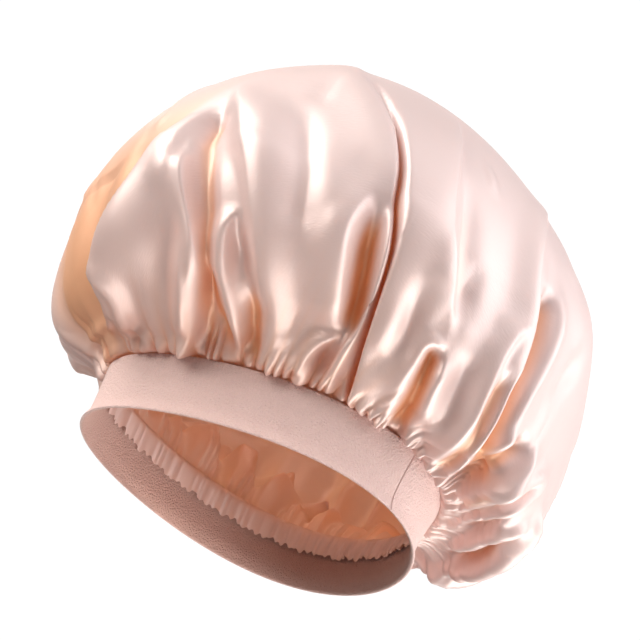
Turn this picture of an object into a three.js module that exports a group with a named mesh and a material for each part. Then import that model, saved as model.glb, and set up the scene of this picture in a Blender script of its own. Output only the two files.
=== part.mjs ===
// A sleep bonnet: a puffed satin crown gathered onto a wide ring of knitted elastic.
// Millimetres, with +Z up through the crown and the front at -Y. The origin is the centre of the
// band's lower rim, where the head goes in. A turn is an angle round the band in degrees, 0 at the
// front, 90 at the +X side and 180 at the back. A rise runs up the crown, 0 at the neck and 1 at the top.
import * as THREE from "three";

// Driving dimensions of the band
const HEAD_LENGTH = 184; // over the lower rim, front to back
const HEAD_WIDTH = 156.6; // over the lower rim, side to side
const FRONT_TAPER = 0.243; // share of the width that the front loses and the back gains
const BAND_HEIGHT = 34;
const BAND_WALL = 2.2;
const BAND_FLARE = 2; // how far the top edge stands out past the rim's plan
const RIM_ROLL = 2.4; // how far the soft rim rolls out
const RIM_ROLL_HEIGHT = 9;
const SEAM_TURN = 129; // where the ring of elastic is joined
const SEAM_WIDTH = 1.8;
const SEAM_DEPTH = 0.7;

// Driving dimensions of the crown
const CROWN_LENGTH = 304.2;
const CROWN_WIDTH = 297;
const CROWN_TAPER = -0.15; // as FRONT_TAPER, and negative where the front is the wider end
const CROWN_SHIFT = 2.7; // the whole bag lies this far to the back
const CROWN_RISE = 219.9; // from the band's top edge to the crown's top
const GIRTH_RISE = 73.1; // from the band's top edge to the widest level
const GIRTH_POWER = 1.1; // above 1 the bag's side is less round and its shoulder slopes more
const BACK_SAG = 39.5; // how far the bag hangs down behind
const FRONT_SAG = 16.3;
const CLOTH_WALL = 2;
const FOLD_DEPTH = 10; // height of a main fold of share 1
const GATHER_COUNT = 32;
const GATHER_DEPTH = 4.2;
const GATHER_REACH = 0.2; // rise at which the gathers fade out
const ALLOWANCE = 13; // gathered seam allowance that runs down inside the band
const RUFFLE_DEPTH = 2.4; // how far the allowance's raw edge waves inwards
const RUFFLE_DROP = 2; // how much its length varies

// Fits
const CLEARANCE = 0.4; // between the allowance and the band's inner face
const NECK_LIFT = 1.4; // extra clearance of the crown over the band's top edge

// Fineness of the faceted surfaces
const COLUMNS_PER_GATHER = 4;
const CROWN_ROWS = 14;
const ROW_SPREAD = 1.3; // above 1 the rows lie closer near the neck
const BAND_COLUMNS = 64;

// Worked out from the sizes above
const RIM = { halfLength: HEAD_LENGTH / 2, halfWidth: HEAD_WIDTH / 2, taper: FRONT_TAPER };
const BAG = { halfLength: CROWN_LENGTH / 2, halfWidth: CROWN_WIDTH / 2, taper: CROWN_TAPER };
const GIRTH_HEIGHT = BAND_HEIGHT + GIRTH_RISE;
const NECK_HEIGHT = BAND_HEIGHT + CLEARANCE + NECK_LIFT + CLOTH_WALL / 2;
const NECK_LATITUDE = -Math.acos(RIM.halfLength / BAG.halfLength);

// Main folds of the crown, each a smooth ridge, or a valley where its height is negative. foot, knee and
// tip are the turns of its line at its lower end, middle and upper end, from and to are the rises that
// it spans, height is a share of FOLD_DEPTH and width is the half width in degrees.
const FOLDS = [
  { foot: 12, knee: 14, tip: 17, from: 0.03, to: 0.45, height: -0.35, width: 7 },
  { foot: 19, knee: 27, tip: 34, from: 0.0, to: 0.52, height: 0.75, width: 4 },
  { foot: 36, knee: 39, tip: 37, from: 0.0, to: 0.4, height: -0.4, width: 4 },
  { foot: 49, knee: 50, tip: 44, from: 0.0, to: 0.5, height: 0.85, width: 4 },
  { foot: 54, knee: 56, tip: 52, from: 0.02, to: 0.38, height: -0.8, width: 3.5 },
  { foot: 64, knee: 61, tip: 58, from: 0.08, to: 0.28, height: -0.6, width: 3.5 },
  { foot: 73, knee: 65, tip: 50, from: 0.0, to: 0.46, height: 0.75, width: 4 },
  { foot: 80, knee: 72, tip: 66, from: 0.05, to: 0.3, height: 0.25, width: 8 },
  { foot: 87, knee: 82, tip: 75, from: 0.05, to: 0.38, height: 0.6, width: 4 },
  { foot: 90, knee: 87, tip: 80, from: 0.07, to: 0.34, height: -0.9, width: 4 },
  { foot: 94, knee: 91, tip: 83, from: 0.06, to: 0.4, height: 0.4, width: 4 },
  { foot: 99, knee: 86.5, tip: 66, from: 0.0, to: 0.64, height: -1.1, width: 4 },
  { foot: 105, knee: 95, tip: 74, from: 0.0, to: 0.66, height: 0.8, width: 6 },
  { foot: 112, knee: 101, tip: 88, from: 0.02, to: 0.6, height: 0.5, width: 4 },
  { foot: 117, knee: 107, tip: 104, from: 0.0, to: 0.26, height: -0.7, width: 4 },
  { foot: 124, knee: 121, tip: 119, from: 0.02, to: 0.3, height: 0.45, width: 4 },
  { foot: 136, knee: 124, tip: 126, from: 0.03, to: 0.6, height: 0.8, width: 4 },
  { foot: 132, knee: 128, tip: 130, from: 0.08, to: 0.42, height: -0.8, width: 4 },
  { foot: 140, knee: 134, tip: 134, from: 0.05, to: 0.3, height: -0.5, width: 4 },
  { foot: 150, knee: 142, tip: 150, from: 0.03, to: 0.34, height: 0.8, width: 4 },
  { foot: 158, knee: 154, tip: 158, from: 0.02, to: 0.3, height: -0.7, width: 4 },
  { foot: 165, knee: 163, tip: 166, from: 0.02, to: 0.34, height: 0.7, width: 4 },
  { foot: 172, knee: 171, tip: 174, from: 0.02, to: 0.28, height: -0.7, width: 4 },
  { foot: 181, knee: 181, tip: 186, from: 0.02, to: 0.4, height: 0.7, width: 5 },
  { foot: 192, knee: 195, tip: 200, from: 0.02, to: 0.34, height: -0.6, width: 5 },
  { foot: 203, knee: 207, tip: 212, from: 0.02, to: 0.5, height: 0.7, width: 5 },
  { foot: 214, knee: 220, tip: 226, from: 0.03, to: 0.4, height: -0.7, width: 5 },
  { foot: 228, knee: 232, tip: 240, from: 0.02, to: 0.46, height: 0.7, width: 5 },
  { foot: 241, knee: 243, tip: 250, from: 0.02, to: 0.6, height: -0.9, width: 4 },
  { foot: 252, knee: 256, tip: 262, from: 0.02, to: 0.55, height: 0.8, width: 5 },
  { foot: 264, knee: 267, tip: 270, from: 0.03, to: 0.36, height: -0.6, width: 5 },
  { foot: 277, knee: 280, tip: 286, from: 0.02, to: 0.5, height: 0.7, width: 5 },
  { foot: 288, knee: 292, tip: 296, from: 0.02, to: 0.5, height: -0.9, width: 4 },
  { foot: 300, knee: 304, tip: 306, from: 0.02, to: 0.44, height: 0.75, width: 5 },
  { foot: 313, knee: 315, tip: 318, from: 0.03, to: 0.36, height: -0.6, width: 5 },
  { foot: 325, knee: 328, tip: 330, from: 0.02, to: 0.42, height: 0.7, width: 5 },
  { foot: 336, knee: 339, tip: 342, from: 0.02, to: 0.34, height: -0.6, width: 5 },
  { foot: 349, knee: 350, tip: 352, from: 0.02, to: 0.4, height: 0.6, width: 6 },
];

// The band's section, a closed outline. height is a share of BAND_HEIGHT and depth is a share of
// BAND_WALL, from the outer face inwards.
const BAND_SECTION = [
  { height: 0, depth: 0.3 },
  { height: 0.04, depth: 0 },
  { height: 0.16, depth: 0 },
  { height: 0.5, depth: 0 },
  { height: 0.97, depth: 0 },
  { height: 1, depth: 0.3 },
  { height: 1, depth: 0.7 },
  { height: 0.97, depth: 1 },
  { height: 0.5, depth: 1 },
  { height: 0.16, depth: 1 },
  { height: 0.04, depth: 1 },
  { height: 0, depth: 0.7 },
];

const clamp01 = (value) => THREE.MathUtils.clamp(value, 0, 1);
const radians = THREE.MathUtils.degToRad;

// A point of an egg-shaped plan, moved out by a distance square to its outline.
function planPoint(plan, turn, outwards) {
  const { halfLength, halfWidth, taper } = plan;
  const angle = radians(turn);
  const sine = Math.sin(angle);
  const cosine = Math.cos(angle);
  const along = new THREE.Vector2(
    halfWidth * (cosine * (1 - taper * cosine) + taper * sine * sine),
    halfLength * sine,
  ).normalize();
  return new THREE.Vector2(
    halfWidth * sine * (1 - taper * cosine) + along.y * outwards,
    -halfLength * cosine - along.x * outwards,
  );
}

// How far the band's outer face stands out at a height: it flares to the top and rolls out at the rim.
function bandStandOut(height) {
  const share = clamp01(height / BAND_HEIGHT);
  const roll = clamp01(1 - height / RIM_ROLL_HEIGHT);
  return BAND_FLARE * share * share + RIM_ROLL * roll * roll;
}

// The band: its section carried round the rim's plan, with a shallow groove where its ends are joined.
function bandPoint(turn, station) {
  const height = station.height * BAND_HEIGHT;
  const groove = turn === SEAM_TURN && station.depth === 0 ? SEAM_DEPTH : 0;
  const outwards = bandStandOut(height) - station.depth * BAND_WALL - groove;
  const point = planPoint(RIM, turn, outwards);
  return new THREE.Vector3(point.x, point.y, height);
}

// The turns of the band's columns: even ones, less any at the seam, and three that make the groove.
function bandTurns() {
  const halfSeam = THREE.MathUtils.radToDeg(SEAM_WIDTH / (RIM.halfLength + RIM.halfWidth));
  const seam = [SEAM_TURN - halfSeam, SEAM_TURN, SEAM_TURN + halfSeam];
  const even = Array.from({ length: BAND_COLUMNS }, (_, column) => (column * 360) / BAND_COLUMNS);
  const clear = even.filter((turn) => Math.abs(turn - SEAM_TURN) > 2 * halfSeam);
  return [...clear, ...seam].sort((a, b) => a - b);
}

// The middle of the satin, without folds. A negative rise runs down the seam allowance, inside the band.
function crownBase(turn, rise) {
  const inset = CLEARANCE + BAND_WALL + CLOTH_WALL / 2;
  if (rise < 0) {
    const height = NECK_HEIGHT + rise * (ALLOWANCE + NECK_HEIGHT - BAND_HEIGHT);
    const point = planPoint(RIM, turn, bandStandOut(height) - inset);
    return new THREE.Vector3(point.x, point.y, height);
  }
  const latitude = NECK_LATITUDE + rise * (Math.PI / 2 - NECK_LATITUDE);
  const girth = Math.max(Math.cos(latitude), 0) ** GIRTH_POWER;
  const neckGirth = Math.cos(NECK_LATITUDE) ** GIRTH_POWER;
  const neck = planPoint(RIM, turn, BAND_FLARE - inset);
  const bag = planPoint(BAG, turn, 0);
  const up = clamp01((latitude - NECK_LATITUDE) / -NECK_LATITUDE);
  const hold = (1 - up) ** 2 * (1 + 2 * up);
  const level = Math.sin(latitude);
  const height = level > 0
    ? GIRTH_HEIGHT + (CROWN_RISE - GIRTH_RISE) * level
    : GIRTH_HEIGHT - (GIRTH_HEIGHT - NECK_HEIGHT) * (level / Math.sin(NECK_LATITUDE));
  const facing = Math.cos(radians(turn));
  const sag = facing > 0 ? FRONT_SAG * facing : -BACK_SAG * facing;
  return new THREE.Vector3(
    bag.x * girth + (neck.x - bag.x * neckGirth) * hold,
    bag.y * girth + (neck.y - bag.y * neckGirth) * hold + CROWN_SHIFT * (1 - hold),
    height - sag * Math.sin(Math.PI * up) ** 1.5,
  );
}

// The direction square to the satin, pointing out of the crown, from small steps along it both ways.
function crownNormal(turn, rise) {
  const step = 0.002;
  const top = Math.min(rise + step, 1 - step);
  const across = crownBase(turn + 1, Math.min(rise, 1 - 2 * step))
    .sub(crownBase(turn - 1, Math.min(rise, 1 - 2 * step)));
  const upwards = crownBase(turn, top).sub(crownBase(turn, Math.min(rise, top) - step));
  return across.cross(upwards).normalize();
}

// How far one fold lifts the satin at a place: a bell across its curved line, eased in and out along it.
function foldLift(fold, turn, rise) {
  const along = (rise - fold.from) / (fold.to - fold.from);
  if (along <= 0 || along >= 1) return 0;
  const line =
    fold.foot * (1 - along) * (1 - 2 * along) +
    4 * fold.knee * along * (1 - along) +
    fold.tip * along * (2 * along - 1);
  const aside = THREE.MathUtils.euclideanModulo(turn - line + 180, 360) - 180;
  const ease =
    THREE.MathUtils.smoothstep(along, 0, 0.25) * (1 - THREE.MathUtils.smoothstep(along, 0.55, 1));
  return FOLD_DEPTH * fold.height * ease * Math.exp(-((aside / fold.width) ** 2));
}

// The small gathers at the neck: even ridges, each of its own strength and length.
function gatherLift(turn, rise) {
  const place = (turn * GATHER_COUNT) / 360;
  const ridge = Math.round(place) % GATHER_COUNT;
  const strength = 0.75 + 0.25 * Math.sin(2.4 * ridge);
  const reach = GATHER_REACH * (1 + 0.35 * Math.cos(1.7 * ridge));
  const along = clamp01(rise / reach);
  const swell = Math.sin(Math.PI * along ** 0.8);
  const across = 0.5 + 0.5 * Math.cos(2 * Math.PI * place);
  return GATHER_DEPTH * strength * swell * across;
}

// A point of the satin's outer face (side 1) or inner face (side -1), with its folds and gathers.
function crownPoint(turn, station) {
  const { rise, side } = station;
  const point = crownBase(turn, rise);
  const normal = crownNormal(turn, rise);
  const wave = 0.5 + 0.5 * Math.cos(radians(turn * GATHER_COUNT));
  if (rise < 0) {
    point.addScaledVector(normal, RUFFLE_DEPTH * wave * rise);
    point.z -= RUFFLE_DROP * Math.sin(radians(turn * 5)) * rise;
    return point.addScaledVector(normal, (side * CLOTH_WALL) / 2);
  }
  const lift = FOLDS.reduce((sum, fold) => sum + foldLift(fold, turn, rise), gatherLift(turn, rise));
  return point.addScaledVector(normal, lift + (side * CLOTH_WALL) / 2);
}

// The crown's stations: from the top down its outer face, round the raw edge and back up its inner face.
function crownStations() {
  const rises = Array.from({ length: CROWN_ROWS + 1 }, (_, row) => (row / CROWN_ROWS) ** ROW_SPREAD);
  const down = [-1, -0.5, ...rises].reverse();
  const outer = down.map((rise) => ({ rise, side: 1 }));
  const inner = down.map((rise) => ({ rise, side: -1 })).reverse();
  return [...outer, ...inner];
}

// A closed body: one ring of points for each station, joined to the next. With poles the first and the
// last station are single points, and without them the last ring joins the first.
function ringSolid(turns, stations, pointAt, hasPoles) {
  const rings = hasPoles ? stations.slice(1, -1) : stations;
  const points = rings.flatMap((station) => turns.map((turn) => pointAt(turn, station)));
  const at = (ring, column) => (ring % rings.length) * turns.length + (column % turns.length);
  const faces = [];
  const strips = hasPoles ? rings.length - 1 : rings.length;
  for (let ring = 0; ring < strips; ring += 1) {
    for (let column = 0; column < turns.length; column += 1) {
      const corner = at(ring, column);
      const beside = at(ring, column + 1);
      const below = at(ring + 1, column);
      const across = at(ring + 1, column + 1);
      faces.push(corner, below, across, corner, across, beside);
    }
  }
  if (hasPoles) {
    const first = points.push(pointAt(0, stations[0])) - 1;
    const last = points.push(pointAt(0, stations[stations.length - 1])) - 1;
    for (let column = 0; column < turns.length; column += 1) {
      faces.push(first, at(0, column), at(0, column + 1));
      faces.push(last, at(rings.length - 1, column + 1), at(rings.length - 1, column));
    }
  }
  const geometry = new THREE.BufferGeometry();
  geometry.setAttribute("position", new THREE.Float32BufferAttribute(points.flatMap((p) => p.toArray()), 3));
  geometry.setIndex(faces);
  geometry.computeVertexNormals();
  return geometry;
}

function makeCrown() {
  const columns = GATHER_COUNT * COLUMNS_PER_GATHER;
  const turns = Array.from({ length: columns }, (_, column) => (column * 360) / columns);
  const satin = new THREE.MeshStandardMaterial({ color: 0xe9c9b4, roughness: 0.32, metalness: 0 });
  const crown = new THREE.Mesh(ringSolid(turns, crownStations(), crownPoint, true), satin);
  crown.name = "crown";
  return crown;
}

function makeBand() {
  const rise = BAND_SECTION.slice().reverse();
  const knit = new THREE.MeshStandardMaterial({ color: 0xe2c4bd, roughness: 0.9, metalness: 0 });
  const band = new THREE.Mesh(ringSolid(bandTurns(), rise, bandPoint, false), knit);
  band.name = "band";
  return band;
}

const bonnet = new THREE.Group();
bonnet.name = "sleep_bonnet";
bonnet.add(makeCrown(), makeBand());

export default bonnet;
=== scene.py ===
"""A sleep bonnet: a puffed crown of satin gathered onto a wide band of knitted elastic.

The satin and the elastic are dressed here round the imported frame. Everything is in metres, with +Z up
through the crown, the front at -Y and the origin at the centre of the band's lower rim.
A turn is an angle round the band, 0 at the front, 90 degrees at the +X side and 180 at the back.
A rise runs along the satin: -1 at its raw edge inside the band, 0 at the neck and 1 at the top.
"""

import math

import bpy
import numpy as np
from bpy.props import FloatProperty, FloatVectorProperty, IntProperty, PointerProperty
from mathutils import Matrix, Vector


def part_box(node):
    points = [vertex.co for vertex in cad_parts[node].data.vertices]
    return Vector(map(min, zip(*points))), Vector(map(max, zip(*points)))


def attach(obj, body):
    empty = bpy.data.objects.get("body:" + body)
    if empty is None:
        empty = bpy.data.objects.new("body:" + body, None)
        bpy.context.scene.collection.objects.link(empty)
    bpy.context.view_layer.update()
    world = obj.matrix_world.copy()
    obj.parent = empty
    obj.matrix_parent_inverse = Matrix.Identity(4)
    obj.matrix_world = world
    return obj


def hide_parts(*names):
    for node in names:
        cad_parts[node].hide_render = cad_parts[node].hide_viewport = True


bl_info = {
    "name": "Sleep bonnet",
    "version": (1, 0, 0),
    "blender": (4, 5, 0),
    "location": "View3D > Sidebar > Bonnet",
    "description": "Makes a gathered satin sleep bonnet on a knitted elastic band, with its studio",
    "category": "Add Mesh",
}

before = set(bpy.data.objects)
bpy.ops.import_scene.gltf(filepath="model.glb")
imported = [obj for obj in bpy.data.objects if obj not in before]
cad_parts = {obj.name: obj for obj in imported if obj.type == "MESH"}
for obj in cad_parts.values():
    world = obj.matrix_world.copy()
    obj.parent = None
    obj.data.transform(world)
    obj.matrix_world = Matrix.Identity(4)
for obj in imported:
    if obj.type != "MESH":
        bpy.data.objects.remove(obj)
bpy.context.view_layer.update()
BAND_LOW, BAND_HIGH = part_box("band")
MM = 0.001

# The band's plan and height come from the frame, and the rest of its section from these.
RIM_ROLL = 2.4 * MM
FRONT_TAPER = 0.243
FULL_TURN = np.linspace(0, 2 * math.pi, 3601)
UNIT_WIDTH = float((np.sin(FULL_TURN) * (1 - FRONT_TAPER * np.cos(FULL_TURN))).max())
RIM_HALF_LENGTH = (BAND_HIGH.y - BAND_LOW.y) / 2 - RIM_ROLL
RIM_HALF_WIDTH = ((BAND_HIGH.x - BAND_LOW.x) / 2 - RIM_ROLL) / UNIT_WIDTH
BAND_HEIGHT = BAND_HIGH.z
SEAM_TURN = math.radians(129)

# The photograph's view: place in metres, compass angle and lift in degrees, roll and width of view.
CAMERA_PLACE = (0.7135, -0.088, -0.319)
CAMERA_COMPASS = -6.85
CAMERA_LIFT = 31.4
CAMERA_ROLL = 24.5
CAMERA_ANGLE = 24.0


def linear(hex_colour):
    """An sRGB hex colour as linear red, green and blue."""
    parts = [((hex_colour >> shift) & 255) / 255 for shift in (16, 8, 0)]
    return tuple(p / 12.92 if p <= 0.04045 else ((p + 0.055) / 1.055) ** 2.4 for p in parts)


class BandSizes(bpy.types.PropertyGroup):
    wall: FloatProperty(
        name="Wall", description="Thickness of the elastic", default=2.2 * MM, subtype="DISTANCE"
    )
    flare: FloatProperty(
        name="Flare", description="How far the top edge stands out", default=2.0 * MM, subtype="DISTANCE"
    )
    back_flare: FloatProperty(
        name="Back flare", description="Further flare behind", default=3.0 * MM, subtype="DISTANCE"
    )
    roll: FloatProperty(
        name="Rim roll", description="How far the rim rolls out", default=RIM_ROLL, subtype="DISTANCE"
    )
    roll_height: FloatProperty(
        name="Roll height", description="Height of the rolled rim", default=9 * MM, subtype="DISTANCE"
    )
    seam_width: FloatProperty(
        name="Seam width", description="Width of the joint's groove", default=0.7 * MM, subtype="DISTANCE"
    )
    seam_depth: FloatProperty(
        name="Seam depth", description="Depth of the joint's groove", default=0.5 * MM, subtype="DISTANCE"
    )
    colour: FloatVectorProperty(
        name="Colour", description="Dusty pink of the elastic", default=linear(0xEFD0CB), subtype="COLOR"
    )
    # painted shade: the inner face's colour is darkened by this share, as it lies in shade inside the
    # crown
    inner_painted_shade: FloatVectorProperty(
        name="Inner share", description="The inner face's colour, as a share", default=(0.56, 0.46, 0.42)
    )


class CrownSizes(bpy.types.PropertyGroup):
    length: FloatProperty(
        name="Length", description="Crown, front to back", default=304.2 * MM, subtype="DISTANCE"
    )
    width: FloatProperty(
        name="Width", description="Crown, side to side", default=297 * MM, subtype="DISTANCE"
    )
    height: FloatProperty(
        name="Height", description="Band's top to crown's top", default=219.9 * MM, subtype="DISTANCE"
    )
    girth_height: FloatProperty(
        name="Girth height", description="Band's top to the widest", default=73.1 * MM, subtype="DISTANCE"
    )
    back_sag: FloatProperty(
        name="Back sag", description="How far the bag hangs behind", default=39.5 * MM, subtype="DISTANCE"
    )
    front_sag: FloatProperty(
        name="Front sag", description="How far it hangs in front", default=16.3 * MM, subtype="DISTANCE"
    )
    allowance: FloatProperty(
        name="Allowance", description="Gathered edge inside the band", default=13 * MM, subtype="DISTANCE"
    )
    cut: FloatProperty(
        name="Cut", description="Diameter of the flat disc of satin", default=0.66, subtype="DISTANCE"
    )
    gathers: IntProperty(name="Gathers", description="Fine gathers round the neck", default=104)
    colour: FloatVectorProperty(
        name="Colour", description="Pale pink of the satin", default=linear(0xEFE0E0), subtype="COLOR"
    )
    # painted glow and shade: the orange painted into the deep folds, the neck and the thin layer,
    # standing in for light that has crossed the cloth several times
    valley: FloatVectorProperty(
        name="Valley", description="Orange of the deep folds", default=linear(0xF7B67E), subtype="COLOR"
    )
    glow: FloatVectorProperty(
        name="Glow", description="Light that comes through", default=linear(0xF2A870), subtype="COLOR"
    )


# The crown's plan and section: the taper of its egg, its place towards the back, the powers that shape
# its girth and its sag, and how far the satin stands over and inside the band.
CROWN_TAPER = -0.15
CROWN_SHIFT = 2.7 * MM
GIRTH_POWER = 1.1
SAG_POWER = 1.5
NECK_LIFT = 2.4 * MM
SATIN_GAP = 0.9 * MM

# Spans of turns in radians: where each starts, is full, begins to ebb and has gone.
FRONT_SPAN = (0.1, 0.5, 1.7, 2.4)
FLARE_SPAN = (1.75, 2.5, 3.4, 4.6)
DRIFT_SPAN = (1.6, 2.6, 3.6, 4.6)
HIDDEN_SPAN = (3.6, 3.9, 5.8, 6.0)

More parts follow.
